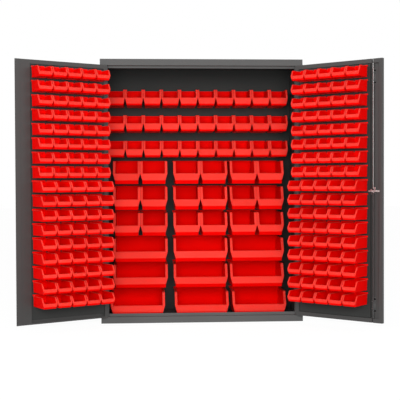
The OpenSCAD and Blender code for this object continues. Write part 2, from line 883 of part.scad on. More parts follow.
module half_bins_row(row) {
    color(bin_red) for (col = [0 : last_col]) for (side = [-1, 1])
        on_back(half_col_x(col, side), half_row_z(row)) lower_bin(half_bin_w);
}

module wide_bins_row(row) {
    color(bin_red) for (col = [0 : last_col])
        on_back(wide_col_x(row, col), wide_row_z(row)) lower_bin(wide_bin_w);
}

// A bank of bins on a door, from a list of rows
module door_bank(rows) {
    for (row = rows) for (col = [0 : door_cols - 1])
        translate([door_col_u(col), panel_face + standoff, door_row_z(row)]) children();
}

module left_shallow_bins(bank) {
    color(bin_red) on_left_door() door_bank(shallow_bank(bank)) shallow_bin();
}

module left_deep_bins(bank) {
    color(bin_red) on_left_door() door_bank(deep_bank(bank)) deep_bin();
}

module right_shallow_bins(bank) {
    color(bin_red) on_right_door() door_bank(shallow_bank(bank)) shallow_bin();
}

module right_deep_bins(bank) {
    color(bin_red) on_right_door() door_bank(deep_bank(bank)) deep_bin();
}

left_side_panel();
right_side_panel();
back_panel();
top_panel();
base_pan();
base_channels();
back_louver_panel();
frame_hinge_leaves();
hinge_pins();
left_door_pan();
left_door_louver_panel();
left_door_hinge_leaves();
astragal();
right_door_pan();
right_door_louver_panel();
right_door_hinge_leaves();
handle_plate();
door_handle();
lock_cylinder();
lock_cam();
upper_lock_rod();
lower_lock_rod();
rod_guides();
rod_guide_screws();
upper_bins_row(0);  // upper_bins_row_1
upper_bins_row(1);  // upper_bins_row_2
upper_bins_row(2);  // upper_bins_row_3
half_bins_row(0);  // half_bins_row_1
half_bins_row(1);  // half_bins_row_2
half_bins_row(2);  // half_bins_row_3
wide_bins_row(0);  // wide_bins_row_1
wide_bins_row(1);  // wide_bins_row_2
wide_bins_row(2);  // wide_bins_row_3
left_shallow_bins(0);  // left_shallow_bins_1
left_shallow_bins(1);  // left_shallow_bins_2
left_shallow_bins(2);  // left_shallow_bins_3
left_shallow_bins(3);  // left_shallow_bins_4
left_deep_bins(0);  // left_deep_bins_1
left_deep_bins(1);  // left_deep_bins_2
left_deep_bins(2);  // left_deep_bins_3
right_shallow_bins(0);  // right_shallow_bins_1
right_shallow_bins(1);  // right_shallow_bins_2
right_shallow_bins(2);  // right_shallow_bins_3
right_shallow_bins(3);  // right_shallow_bins_4
right_deep_bins(0);  // right_deep_bins_1
right_deep_bins(1);  // right_deep_bins_2
right_deep_bins(2);  // right_deep_bins_3
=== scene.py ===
"""Looks of a steel bin cabinet around its packed construction.

Painted sheet steel, red moulded bins, a zinc-plated rod lock and a chrome lever, with the stage
that they are shown on. Lengths are in metres, +X runs to the right, +Y to the back and +Z up.
"""

import json
import math
from typing import NamedTuple

import bpy
import numpy as np
from mathutils import Matrix, Vector


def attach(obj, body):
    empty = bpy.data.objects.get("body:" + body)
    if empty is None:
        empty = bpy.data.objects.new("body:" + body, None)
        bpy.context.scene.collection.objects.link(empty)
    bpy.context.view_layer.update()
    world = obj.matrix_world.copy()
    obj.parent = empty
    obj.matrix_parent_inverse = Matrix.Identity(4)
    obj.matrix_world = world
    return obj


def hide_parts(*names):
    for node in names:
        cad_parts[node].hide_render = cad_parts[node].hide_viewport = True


bl_info = {
    "name": "Bin Cabinet",
    "version": (1, 0, 0),
    "blender": (4, 5, 0),
    "location": "View3D > Sidebar > Cabinet",
    "description": "Dresses a steel bin cabinet with its bins, paint, lock and stage",
    "category": "Object",
}

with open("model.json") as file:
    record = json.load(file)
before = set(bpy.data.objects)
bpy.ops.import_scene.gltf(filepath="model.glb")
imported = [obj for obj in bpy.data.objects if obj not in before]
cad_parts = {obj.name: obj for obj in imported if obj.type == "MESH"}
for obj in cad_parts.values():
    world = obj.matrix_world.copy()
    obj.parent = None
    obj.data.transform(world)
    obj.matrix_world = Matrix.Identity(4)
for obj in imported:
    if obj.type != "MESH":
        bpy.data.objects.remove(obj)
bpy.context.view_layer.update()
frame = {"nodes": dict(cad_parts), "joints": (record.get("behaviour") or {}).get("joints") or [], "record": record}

NODES = frame["nodes"]
JOINTS = {joint["name"]: joint for joint in frame["joints"]}
BODY_OF = {
    node: body for body, nodes in frame["record"]["behaviour"]["bodies"].items() for node in nodes
}
SLOT_OF = {part["node"]: part["material_slot"] for part in frame["record"]["subparts"]}
PHOTO_PIXELS = 400
MM = 0.001

# Points that lie in one plane or at one place are read as such within these distances
PLANE_TOLERANCE = 0.1 * MM
WELD_DISTANCE = 0.01 * MM

# Roundings of the cut and bent edges
BODY_EDGE = 0.8 * MM
DOOR_EDGE = 0.6 * MM
LOCK_EDGE = 0.4 * MM

# The lamps stand on both sides and over the camera, and are turned to one point of the cabinet
SIDE_LAMP_AT = (4.6, -5.4, 3.0)
SIDE_LAMP_SIZE = 2.6
FRONT_LAMP_AT = (-0.4, -7.6, 1.6)
FRONT_LAMP_SIZE = 2.8
LAMP_AIM = (0, -0.2, 1.0)
WHITE = (1.0, 1.0, 1.0, 1.0)


# Sizes and colours that a user would change


class BinSettings(bpy.types.PropertyGroup):
    """Sizes that every bin shares."""

    wall: bpy.props.FloatProperty(
        name="Wall", description="Wall of a bin", default=2.6 * MM, unit="LENGTH"
    )
    floor: bpy.props.FloatProperty(
        name="Floor", description="Floor of a bin", default=2.8 * MM, unit="LENGTH"
    )
    draft: bpy.props.FloatProperty(
        name="Draft", description="Slope of the side walls", default=math.radians(1.5), subtype="ANGLE"
    )
    undercut: bpy.props.FloatProperty(
        name="Undercut", description="Slope under the front lip", default=math.radians(18), subtype="ANGLE"
    )
    lean: bpy.props.FloatProperty(
        name="Lip lean", description="Backward lean of the lip", default=math.radians(4), subtype="ANGLE"
    )
    corner: bpy.props.FloatProperty(
        name="Corner", description="Radius of the upright corners", default=6 * MM, unit="LENGTH"
    )
    fillet: bpy.props.FloatProperty(
        name="Fillet", description="Radius along the floor", default=4 * MM, unit="LENGTH"
    )
    edge: bpy.props.FloatProperty(
        name="Edge", description="Rounding of the thin edges", default=0.8 * MM, unit="LENGTH"
    )
    rim_t: bpy.props.FloatProperty(
        name="Rim thickness", description="Thickness of the rim flange", default=2.2 * MM, unit="LENGTH"
    )
    rim_share: bpy.props.FloatProperty(
        name="Level rim", description="Share of the depth with a level rim", default=0.85, subtype="FACTOR"
    )
    rim_proud: bpy.props.FloatProperty(
        name="Rim rise", description="Height of the rim over the walls", default=0.3 * MM, unit="LENGTH"
    )
    rim_bend: bpy.props.FloatProperty(
        name="Rim bend", description="Radius of the bends of the rim", default=9 * MM, unit="LENGTH"
    )
    bead: bpy.props.FloatProperty(
        name="Bead", description="Radius of the bead on the front lip", default=2.2 * MM, unit="LENGTH"
    )
    hanger_rise: bpy.props.FloatProperty(
        name="Hanger rise", description="Height of the hanger over the rim", default=9 * MM, unit="LENGTH"
    )
    hook_reach: bpy.props.FloatProperty(
        name="Hook reach", description="Reach of the hook behind a bin", default=5 * MM, unit="LENGTH"
    )
    hook_t: bpy.props.FloatProperty(
        name="Hook thickness", description="Thickness of the hook", default=2.4 * MM, unit="LENGTH"
    )
    hook_drop: bpy.props.FloatProperty(
        name="Hook drop", description="Drop of the hook behind a tongue", default=9 * MM, unit="LENGTH"
    )
    hook_in: bpy.props.FloatProperty(
        name="Hook inset", description="Inset of the hooks from the sides", default=9 * MM, unit="LENGTH"
    )


class DoorSettings(bpy.types.PropertyGroup):
    """Sizes of the left door's folded sheet and of its astragal."""

    sheet: bpy.props.FloatProperty(
        name="Sheet", description="Thickness of the sheet", default=1.5 * MM, unit="LENGTH"
    )
    hinge_return: bpy.props.FloatProperty(
        name="Hinge return", description="Return flange along the hinges", default=30 * MM, unit="LENGTH"
    )
    stile: bpy.props.FloatProperty(
        name="Stile", description="Return flange along the free edge", default=105 * MM, unit="LENGTH"
    )
    head_return: bpy.props.FloatProperty(
        name="Head return", description="Return flange along the top", default=30 * MM, unit="LENGTH"
    )
    foot_return: bpy.props.FloatProperty(
        name="Foot return", description="Return flange along the bottom", default=12 * MM, unit="LENGTH"
    )
    lap: bpy.props.FloatProperty(
        name="Lap", description="Reach of the astragal past the free edge", default=10 * MM, unit="LENGTH"
    )


class LeverSettings(bpy.types.PropertyGroup):
    """Sizes of the lever handle and the guide screws that the frame doesn't tell."""

    width: bpy.props.FloatProperty(
        name="Width", description="Width of the lever", default=18 * MM, unit="LENGTH"
    )
    thickness: bpy.props.FloatProperty(
        name="Thickness", description="Thickness of the lever", default=12 * MM, unit="LENGTH"
    )
    hub_radius: bpy.props.FloatProperty(
        name="Hub", description="Radius of the hub", default=15 * MM, unit="LENGTH"
    )
    hub_height: bpy.props.FloatProperty(
        name="Hub height", description="Height of the hub", default=30 * MM, unit="LENGTH"
    )
    recess_radius: bpy.props.FloatProperty(
        name="Recess", description="Radius of the lock cylinder's recess", default=9 * MM, unit="LENGTH"
    )
    recess_depth: bpy.props.FloatProperty(
        name="Recess depth", description="Depth of the lock cylinder's recess", default=8 * MM, unit="LENGTH"
    )
    spindle_radius: bpy.props.FloatProperty(
        name="Spindle", description="Radius of the spindle", default=4 * MM, unit="LENGTH"
    )
    screw_radius: bpy.props.FloatProperty(
        name="Guide screw", description="Radius of a guide screw's head", default=7 * MM, unit="LENGTH"
    )
    screw_height: bpy.props.FloatProperty(
        name="Screw height", description="Height of a guide screw's head", default=2.6 * MM, unit="LENGTH"
    )
    edge: bpy.props.FloatProperty(
        name="Edge", description="Rounding of the edges", default=1.5 * MM, unit="LENGTH"
    )


class FinishSettings(bpy.types.PropertyGroup):
    """Colours of the paint, the plastic and the metal."""

    body_paint: bpy.props.FloatVectorProperty(
        name="Body paint", description="Paint of the body",
        default=(0.080, 0.079, 0.078), subtype="COLOR"
    )
    # The doors' paint is the body paint made darker: painted shade on the open doors
    shaded_door_paint: bpy.props.FloatVectorProperty(
        name="Shaded door paint", description="Paint of the doors",
        default=(0.045, 0.044, 0.043), subtype="COLOR"
    )
    # The louvered panels' paint is darker than the body paint: painted shade inside the cabinet
    inner_paint: bpy.props.FloatVectorProperty(
        name="Shaded inner paint", description="Paint of the louvered panels",
        default=(0.029, 0.030, 0.029), subtype="COLOR"
    )
    bin_red: bpy.props.FloatVectorProperty(
        name="Bin red", description="Plastic of the bins",
        default=(0.82, 0.001, 0.0005), subtype="COLOR"
    )
    # Paler red of the rims and lips: a painted sheen of the light on them, not a different plastic
    lip_sheen_red: bpy.props.FloatVectorProperty(
        name="Lip sheen red", description="Plastic of the thin rims and lips",
        default=(0.88, 0.042, 0.030), subtype="COLOR"
    )
    zinc: bpy.props.FloatVectorProperty(
        name="Zinc", description="Plating of the upper rod and cam",
        default=(0.42, 0.42, 0.41), subtype="COLOR"
    )
    # The lower rod's zinc is darker and rougher than the upper rod's
    dull_zinc: bpy.props.FloatVectorProperty(
        name="Dull zinc", description="Worn plating of the lower rod",
        default=(0.13, 0.13, 0.13), subtype="COLOR"
    )
    black_steel: bpy.props.FloatVectorProperty(
        name="Black steel", description="Finish of the small screws",
        default=(0.012, 0.012, 0.012), subtype="COLOR"
    )
    chrome: bpy.props.FloatVectorProperty(
        name="Chrome", description="Plating of the lever",
        default=(0.74, 0.75, 0.76), subtype="COLOR"
    )


class StageSettings(bpy.types.PropertyGroup):
    """Camera, lamps and floor."""

    camera_at: bpy.props.FloatVectorProperty(
        name="Camera", description="Place of the camera", default=(-0.4238, -7.1631, 1.0660), subtype="XYZ"
    )
    yaw: bpy.props.FloatProperty(
        name="Yaw", description="Turn of the camera about Z", default=math.radians(-3.389), subtype="ANGLE"
    )
    pitch: bpy.props.FloatProperty(
        name="Pitch", description="Tilt of the camera", default=math.radians(-1.185), subtype="ANGLE"
    )
    roll: bpy.props.FloatProperty(
        name="Roll", description="Roll of the camera", default=math.radians(-0.228), subtype="ANGLE"
    )
    focal_pixels: bpy.props.FloatProperty(
        name="Focal length", description="Focal length in pixels of the picture", default=913.2
    )
    ambient: bpy.props.FloatProperty(
        name="Ambient", description="Strength of the light from all around", default=0.44
    )
    front_light: bpy.props.FloatProperty(
        name="Front light", description="Power of the lamp over the camera", default=540, unit="POWER"
    )
    left_light: bpy.props.FloatProperty(
        name="Left light", description="Power of the lamp on the left", default=130, unit="POWER"
    )
    right_light: bpy.props.FloatProperty(
        name="Right light", description="Power of the lamp on the right", default=60, unit="POWER"
    )
    floor_size: bpy.props.FloatProperty(
        name="Floor", description="Side of the floor", default=60, unit="LENGTH"
    )


class CabinetSettings(bpy.types.PropertyGroup):
    """All settings of the cabinet."""

    bins: bpy.props.PointerProperty(type=BinSettings)
    door: bpy.props.PointerProperty(type=DoorSettings)
    lever: bpy.props.PointerProperty(type=LeverSettings)
    finish: bpy.props.PointerProperty(type=FinishSettings)
    stage: bpy.props.PointerProperty(type=StageSettings)


# Places where bins hang


class Place(NamedTuple):
    """A point, the direction along a row of bins and the direction from a bin's back to its front."""

    origin: np.ndarray
    along: np.ndarray
    out: np.ndarray

    def local(self, points):
        """Points of the frame as distances along, out and up."""
        away = points - self.origin
        return np.column_stack([away @ self.along, away @ self.out, away[:, 2]])

    def world(self, points):
        """Points given along, out and up, in the frame."""
        return self.origin + points @ np.array([self.along, self.out, (0, 0, 1)])


def back_place():
    """The inside of the cabinet: bins face the doors, and a row runs against X."""
    return Place(np.zeros(3), np.array((-1.0, 0, 0)), np.array((0, -1.0, 0)))


def door_place(joint_name, side):
    """An open door: its axes are those of the closed door, turned by the angle that it stands open."""
    joint = JOINTS[joint_name]
    angle = -math.radians(joint["range_deg"][0])
    along = np.array((math.cos(angle), side * math.sin(angle), 0))
    out = np.array((-side * math.sin(angle), math.cos(angle), 0))
    return Place(np.array(joint["pos_m"], float), along, out)


PLACES = {
    "back": back_place(),
    "left": door_place("door_left_swing", -1),
    "right": door_place("door_right_swing", 1),
}


def node_points(node):
    """Vertices of a CAD node as an array."""
    vertices = NODES[node].data.vertices
    points = np.empty(3 * len(vertices), np.float32)
    vertices.foreach_get("co", points)
    return points.reshape(-1, 3).astype(float)


def local_box(node, place):
    """Lowest and highest corner of a CAD node in the axes of its place."""
    points = place.local(node_points(node))
    return points.min(0), points.max(0)


# Kinds of bins


class Detail(NamedTuple):
    """How finely a bin is rounded: angles in a corner, steps in a bend of the rim, points round its bead."""

    corner: tuple
    bend: int
    bead: int
    soft: bool


LARGE = Detail((30, 60), 4, 10, True)
SMALL = Detail((45,), 1, 6, False)


class BinKind(NamedTuple):
    """One sort of bin: the heights of its lip and foot, and what the frame doesn't tell of its rim.

    At the rim the walls lie inside the bin's width by flange. The rim reaches rim_out past that width
    and inner_rim inside the walls. The hanger ends short of the sides by hanger_in.
    """

    prefix: str
    lip: float
    foot: float
    flange: float
    inner_rim: float
    rim_out: float
    hanger_in: float
    detail: Detail


BIN_KINDS = (
    BinKind("upper_bins_row", 60 * MM, 14 * MM, 6.5 * MM, 2 * MM, 0.8 * MM, 1.5 * MM, LARGE),
    BinKind("half_bins_row", 81 * MM, 30 * MM, 10 * MM, 3 * MM, 0.8 * MM, 1.5 * MM, LARGE),
    BinKind("wide_bins_row", 81 * MM, 30 * MM, 10 * MM, 3 * MM, 0.8 * MM, 1.5 * MM, LARGE),
    BinKind("shallow_bins", 35 * MM, 13 * MM, 2.5 * MM, 0.5 * MM, 2.5 * MM, 2 * MM, SMALL),
    BinKind("deep_bins", 35 * MM, 13 * MM, 2.5 * MM, 0.5 * MM, 2.5 * MM, 2 * MM, SMALL),
)


class HungBins(NamedTuple):
    """The bins of one node: middles along the row, bottoms of the rows, backs and size."""

    middles: np.ndarray
    bottoms: np.ndarray
    back: float
    width: float
    depth: float
    height: float


def levels(values, step=1 * MM):
    """Distinct values: sorted, split where they are more than a step apart, and each part averaged."""
    ordered = np.sort(values)
    parts = np.split(ordered, np.flatnonzero(np.diff(ordered) > step) + 1)
    return np.array([part.mean() for part in parts])


def hung_bins(node, place, s):
    """Reads the bins of a node from the backs of their hooks, which have two edges along and two up."""
    points = place.local(node_points(node))
    low, high = points.min(0), points.max(0)
    hooks = points[points[:, 1] < low[1] + PLANE_TOLERANCE]
    sides = levels(hooks[:, 0]).reshape(-1, 2)
    tops = levels(hooks[:, 2]).reshape(-1, 2)[:, 1]
    height = tops[0] - s.hanger_rise - low[2]
    return HungBins(
        middles=sides.mean(1),
        bottoms=tops - s.hanger_rise - height,
        back=low[1] + s.hook_reach,
        width=np.ptp(sides[0]) + 2 * s.hook_in,
        depth=high[1] - low[1] - s.hook_reach,
        height=height,
    )


# Surfaces


class Surface(NamedTuple):
    """Points of a mesh, its faces as arrays of equal corner counts, and a rim mask for each point."""

    points: np.ndarray
    faces: list
    rim: np.ndarray


def volume(points, faces):
    """Signed volume: the sum over fans of triangles of their corners' triple product."""
    total = 0.0
    for corners in faces:
        first = points[corners[:, 0]]
        for k in range(1, corners.shape[1] - 1):
            total += np.sum(first * np.cross(points[corners[:, k]], points[corners[:, k + 1]]))
    return total / 6


def closed_surface(points, faces, rim=0.0):
    """A closed surface whose faces point outwards: where its signed volume is negative, they are turned."""
    if volume(points, faces) < 0:
        faces = [corners[:, ::-1] for corners in faces]
    return Surface(points, faces, np.full(len(points), rim))


def tube_faces(rings, steps):
    """Faces of a tube of rings, each closed round its steps, with a flat cap on both ends."""
    ring, step = np.meshgrid(np.arange(rings - 1), np.arange(steps), indexing="ij")
    here = ring * steps + step
    beside = ring * steps + (step + 1) % steps
    sides = np.stack([here, beside, beside + steps, here + steps], -1).reshape(-1, 4)
    first = np.arange(steps)[None, ::-1]
    last = (rings - 1) * steps + np.arange(steps)[None]
    return [sides, first, last]


def swept(rings, rim=0.0):
    """A profile carried along a path: an array of rings by points by XYZ becomes a capped tube."""
    count, steps = rings.shape[:2]
    return closed_surface(rings.reshape(-1, 3), tube_faces(count, steps), rim)


def joined(surfaces):
    """Several surfaces as one, with the later ones' corner numbers moved up."""
    starts = np.cumsum([0] + [len(s.points) for s in surfaces])
    faces = [corners + start for s, start in zip(surfaces, starts) for corners in s.faces]
    return Surface(
        np.concatenate([s.points for s in surfaces]), faces, np.concatenate([s.rim for s in surfaces])
    )


def moved(surface, shift):
    """A surface moved by a distance along, out and up."""
    return surface._replace(points=surface.points + shift)


def rounded_path(corners, radius, steps=4):
    """A chain of straight lines with an arc of this radius at each inner corner.

    Each arc starts where it touches the first line and turns by the angle between the lines.
    """
    corners = np.array(corners, float)
    path = [corners[:1]]
    for before, corner, after in zip(corners, corners[1:], corners[2:]):
        inward = (before - corner) / np.linalg.norm(before - corner)
        onward = (after - corner) / np.linalg.norm(after - corner)
        turn = math.pi - math.acos(np.clip(inward @ onward, -1, 1))
        bisector = (inward + onward) / np.linalg.norm(inward + onward)
        centre = corner + bisector * radius / math.cos(turn / 2)
        start = corner + inward * radius * math.tan(turn / 2) - centre
        side = -inward
        angles = np.linspace(0, turn, steps + 1)[:, None]
        path.append(centre + start * np.cos(angles) + side * radius * np.sin(angles))
    path.append(corners[-1:])
    return np.concatenate(path)


def path_normals(path):
    """Unit normals of a path in a plane: each is the mean of the next lines' directions, turned left."""
    lines = np.diff(path, axis=0)
    lines /= np.linalg.norm(lines, axis=1)[:, None]
    along = np.concatenate([lines[:1], lines[1:] + lines[:-1], lines[-1:]])
    along /= np.linalg.norm(along, axis=1)[:, None]
    return np.column_stack([-along[:, 1], along[:, 0]])


# Bins


class BinShape:
    """A hopper bin of one kind: its back is at y = 0, its front faces +Y and its bottom is at z = 0."""

    def __init__(self, kind, size, s):
        self.kind = kind
        self.size = size
        self.s = s
        self.lip_y = self.front_y(kind.lip)
        self.level_rim = s.rim_share * size.depth

    def half_width(self, z):
        """Half the width outside the side walls, which lean in towards the floor."""
        return self.size.width / 2 - self.kind.flange - (self.size.height - z) * math.tan(self.s.draft)

    def front_y(self, z):
        """Front of the bin: it leans out up to the foot, then back up to the lip."""
        kind = self.kind
        below = np.minimum(z - kind.foot, 0) * math.tan(self.s.undercut)
        above = np.clip(z - kind.foot, 0, kind.lip - kind.foot) * math.tan(self.s.lean)
        return self.size.depth + below - above

    def rim_z(self, y):
        """Height of the rim: level at the back, then straight down to the front lip."""
        kind, height = self.kind, self.size.height
        return np.interp(y, [0, self.level_rim, self.lip_y], [height, height, kind.lip])

    def stations(self):
        """A round trip of the plan: the middle of each corner arc as shares of the box, and its angle.

        Each side has a station where the level rim ends.
        """
        corner = self.s.corner
        side = np.array([0, (self.level_rim - corner) / (self.lip_y - 2 * corner), 1])
        arc = np.radians(self.kind.detail.corner)
        bend = np.ones(arc.size)
        share_x = [np.ones(3), bend, [1, -1], -bend, -np.ones(3), -bend, [-1, 1], bend]
        share_y = [side, bend, [1, 1], bend, side[::-1], 0 * bend, [0, 0], 0 * bend]
        quarter = math.pi / 2
        angle = []
        for turn, straight in enumerate((3, 2, 3, 2)):
            angle += [np.full(straight, turn * quarter), arc + turn * quarter]
        return np.concatenate(share_x), np.concatenate(share_y), np.concatenate(angle)

    def ring(self, inset, z, radius):
        """The plan at height z, this far inside the outer face: straight sides joined by corner arcs."""
        share_x, share_y, angle = self.stations()
        x = share_x * (self.half_width(z) - inset - radius) + radius * np.cos(angle)
        straight = self.front_y(z) - 2 * (inset + radius)
        y = inset + radius + share_y * straight + radius * np.sin(angle)
        return np.column_stack([x, y, np.broadcast_to(z, x.shape)])

    def tub(self):
        """Walls and floor: rings run from the inner floor up, over the edge and down to the bottom.

        The outside of the front lip counts as rim and takes the rims' painted sheen.
        """
        s, kind = self.s, self.kind
        soft = 1 - math.sqrt(0.5)
        least = s.corner - s.wall
        top = self.rim_z(self.ring(0, kind.lip, s.corner)[:, 1]) - s.rim_proud
        sill = 1.5 * MM
        if kind.detail.soft:
            inside = [
                (s.wall + s.fillet, s.floor), (s.wall + soft * s.fillet, s.floor + soft * s.fillet),
                (s.wall, s.floor + s.fillet), (s.wall, kind.foot), (s.wall, top - s.edge),
                (s.wall - soft * s.edge, top - soft * s.edge), (s.wall - s.edge, top)
            ]
            front = [
                (s.edge, top), (soft * s.edge, top - soft * s.edge), (0, top - s.edge), (0, kind.foot + sill)
            ]
            under = [
                (0, kind.foot - sill), (0, s.fillet), (soft * s.fillet, soft * s.fillet), (s.fillet, 0)
            ]
        else:
            inside = [(s.wall, s.floor), (s.wall, kind.foot), (s.wall, top)]
            front = [(0, top), (0, kind.foot + sill)]
            under = [(0, kind.foot - sill), (0, 0)]
        rings = [self.ring(inset, z, max(s.corner - inset, least)) for inset, z in inside + front + under]
        tub = swept(np.array(rings))
        faces_front = self.stations()[2] == math.pi / 2
        bands = np.repeat([0, 1, 0], [len(inside), len(front), len(under)])
        return tub._replace(rim=np.outer(bands, faces_front).ravel().astype(float))

    def rim(self, side):
        """Rim flange of one side: a flat strip carried along the top, down the slope and down the front lip.

        Beside the lip its outer edge runs in to the side wall at the foot.
        """
        s, kind, size = self.s, self.kind, self.size
        corners = [
            (0, size.height), (self.level_rim, size.height), (self.lip_y, kind.lip), (size.depth, kind.foot)
        ]
        path = rounded_path(corners, s.rim_bend, kind.detail.bend)
        normal = path_normals(path)
        y, z = path.T
        inner = np.full(z.size, self.half_width(kind.lip) - s.wall - kind.inner_rim)
        reach = [self.half_width(kind.foot), size.width / 2 + kind.rim_out]
        outer = np.interp(z, [kind.foot, kind.lip], reach)
        if kind.detail.soft:
            top = [(outer, -s.edge), (outer - s.edge, 0), (inner + s.edge, 0), (inner, -s.edge)]
        else:
            top = [(outer, 0), (inner, 0)]
        rings = []
        for x, lift in [(outer, -s.rim_t), *top, (inner, -s.rim_t)]:
            shift = (lift + s.rim_proud) * normal
            rings.append(np.column_stack([side * x, y + shift[:, 0], z + shift[:, 1]]))
        return swept(np.stack(rings, 1), 1.0)

    def bead(self):
        """Rounded bead along the front lip: a circle carried across the bin."""
        s, kind = self.s, self.kind
        angle = np.linspace(0, 2 * math.pi, kind.detail.bead, endpoint=False)
        y = self.lip_y - s.wall / 2 + s.bead * np.cos(angle)
        z = kind.lip - s.bead / 2 + s.bead * np.sin(angle)
        return self.across(np.column_stack([y, z]), self.half_width(kind.lip) - s.wall, 1.0)

    def hanger(self):
        """Hanger and hook on the back wall: an outline of a raised plate and an L, carried across."""
        s = self.s
        top = self.size.height + s.hanger_rise
        bottom = self.size.height - s.rim_t
        reach, inner = -s.hook_reach, s.hook_t - s.hook_reach
        outline = [
            (s.wall, bottom), (s.wall, top), (reach, top), (reach, top - s.hook_drop),
            (inner, top - s.hook_drop), (inner, top - s.hook_t), (0, top - s.hook_t), (0, bottom)
        ]
        return self.across(np.array(outline), self.size.width / 2 - self.kind.hanger_in)

    def across(self, outline, reach, rim=0.0):
        """An outline in Y and Z carried from one side of the bin to the other."""
        rings = [np.column_stack([np.full(len(outline), x), outline]) for x in (-reach, reach)]
        return swept(np.array(rings), rim)

    def surface(self):
        """The whole bin."""
        return joined([self.tub(), self.rim(-1), self.rim(1), self.bead(), self.hanger()])


def repeated(surface, place, offsets):
    """A surface repeated at each offset along, out and up in one place."""
    count = len(offsets)
    points = (offsets[:, None] + surface.points[None]).reshape(-1, 3)
    starts = len(surface.points) * np.arange(count)[:, None, None]
    faces = [(corners[None] + starts).reshape(-1, corners.shape[1]) for corners in surface.faces]
    return Surface(place.world(points), faces, np.tile(surface.rim, count))


def mesh_object(name, surface, sharp=math.radians(35)):
    """A mesh object from a surface, shaded smooth apart from edges sharper than this angle."""
    mesh = bpy.data.meshes.new(name)
    corners = np.concatenate([f.ravel() for f in surface.faces])
    totals = np.concatenate([np.full(len(f), f.shape[1]) for f in surface.faces])
    mesh.vertices.add(len(surface.points))
    mesh.vertices.foreach_set("co", surface.points.astype(np.float32).ravel())
    mesh.loops.add(len(corners))
    mesh.loops.foreach_set("vertex_index", corners.astype(np.int32))
    mesh.polygons.add(len(totals))
    mesh.polygons.foreach_set("loop_start", (np.cumsum(totals) - totals).astype(np.int32))
    mesh.polygons.foreach_set("use_smooth", np.ones(len(totals), bool))
    mesh.update(calc_edges=True)
    mesh.validate()
    mesh.set_sharp_from_angle(angle=sharp)
    piece = bpy.data.objects.new(name, mesh)
    bpy.context.scene.collection.objects.link(piece)
    return piece


def point_attribute(piece, name, values):
    """A named number on each point, which a material can read."""
    attribute = piece.data.attributes.new(name, "FLOAT", "POINT")
    attribute.data.foreach_set("value", np.asarray(values, np.float32))


def hang_bins(kind, node, place, settings, rng):
    """One CAD node's bins: one at each place along and up where the node has one."""
    hung = hung_bins(node, place, settings)
    surface = BinShape(kind, hung, settings).surface()
    along, up = (grid.ravel() for grid in np.meshgrid(hung.middles, hung.bottoms))
    offsets = np.column_stack([along, np.full(along.size, hung.back), up])
    row = repeated(surface, place, offsets)
    piece = mesh_object(node.replace("bins", "hopper_bins"), row, sharp=math.radians(50))
    point_attribute(piece, "rim", row.rim)
    point_attribute(piece, "tone", np.repeat(rng.uniform(-1, 1, along.size), len(surface.points)))
    piece.modifiers.new("Even normals", "WEIGHTED_NORMAL").keep_sharp = True
    return piece


# Left door


def plate(low, high):
    """A box between two corners: its two ends, joined by its sides."""
    corners = [(low[0], low[2]), (high[0], low[2]), (high[0], high[2]), (low[0], high[2])]
    return swept(np.array([[(x, y, z) for x, z in corners] for y in (low[1], high[1])]))


def tray(low, high, s):
    """A folded tray: rectangles run from the skin up the sides, in along the returns and down inside.

    Each rectangle lies inside the outline by its own distance at the hinges, free edge, bottom and top.
    """
    outline = np.zeros(4)
    returns = np.array([s.hinge_return, s.stile, s.foot_return, s.head_return])
    walls = np.full(4, s.sheet)
    rings = []
    for y, inset in (
        (low[1], outline), (high[1], outline), (high[1], returns), (high[1] - s.sheet, returns),
        (high[1] - s.sheet, walls), (low[1] + s.sheet, walls)
    ):
        x0, x1, z0, z1 = np.array([low[0], high[0], low[2], high[2]]) + inset * (1, -1, 1, -1)
        rings.append([(x0, y, z0), (x1, y, z0), (x1, y, z1), (x0, y, z1)])
    return swept(np.array(rings))


# Lever handle


def lathe(profile, steps=40):
    """A profile of radii and depths turned about the spindle, with flat ends."""
    radius, depth = np.array(profile, float).T
    angle = np.linspace(0, 2 * math.pi, steps, endpoint=False)
    rings = np.stack([
        np.outer(radius, np.cos(angle)), np.repeat(depth[:, None], steps, 1), np.outer(radius, np.sin(angle))
    ], -1)
    return swept(rings)


def lever_hub(s, outer, inner):
    """Hub with a recess for the lock cylinder, and the spindle behind it, between two depths."""
    hub_end = outer + s.hub_height
    waist = 0.93 * s.hub_radius
    return lathe([
        (s.recess_radius, outer + s.recess_depth), (s.recess_radius, outer + s.edge / 2),
        (s.recess_radius + s.edge / 2, outer), (s.hub_radius - s.edge, outer),
        (s.hub_radius - 0.3 * s.edge, outer + 0.3 * s.edge), (s.hub_radius, outer + s.edge),
        (s.hub_radius, outer + s.thickness), (waist, outer + 1.2 * s.thickness),
        (waist, hub_end - 3 * s.edge), (s.hub_radius, hub_end - s.edge), (s.hub_radius, hub_end),
        (s.spindle_radius, hub_end), (s.spindle_radius, inner)
    ])


def lever_arm(s, outer, length, rings=28, steps=28):
    """Arm of the lever: superellipses carried along it, narrower in the middle, with a round end.

    Share t runs along the arm. Each section is |x/a|^p + |z/b|^p = 1 with p = 3, where a and b shrink
    to the end as the height of a half circle does.
    """
    start = s.recess_radius + s.edge
    waist, taper = 0.14, 0.10
    t = 1 - (1 - np.linspace(0, 1, rings)) ** 2
    along = start + t * (length - start)
    end = np.sqrt(np.clip(1 - ((along - length + s.width / 2) / (s.width / 2)).clip(0, 0.995) ** 2, 0, 1))
    wide = s.width / 2 * (1 - waist * np.sin(math.pi * t)) * end
    thick = s.thickness / 2 * (1 - taper * t) * np.sqrt(end)
    angle = np.linspace(0, 2 * math.pi, steps, endpoint=False)
    round_x, round_z = (np.sign(v) * np.abs(v) ** (2 / 3) for v in (np.cos(angle), np.sin(angle)))
    depth = outer + s.thickness / 2 + np.outer(thick, round_x)
    points = np.stack([np.repeat(along[:, None], steps, 1), depth, np.outer(wide, round_z)], -1)
    return swept(points)


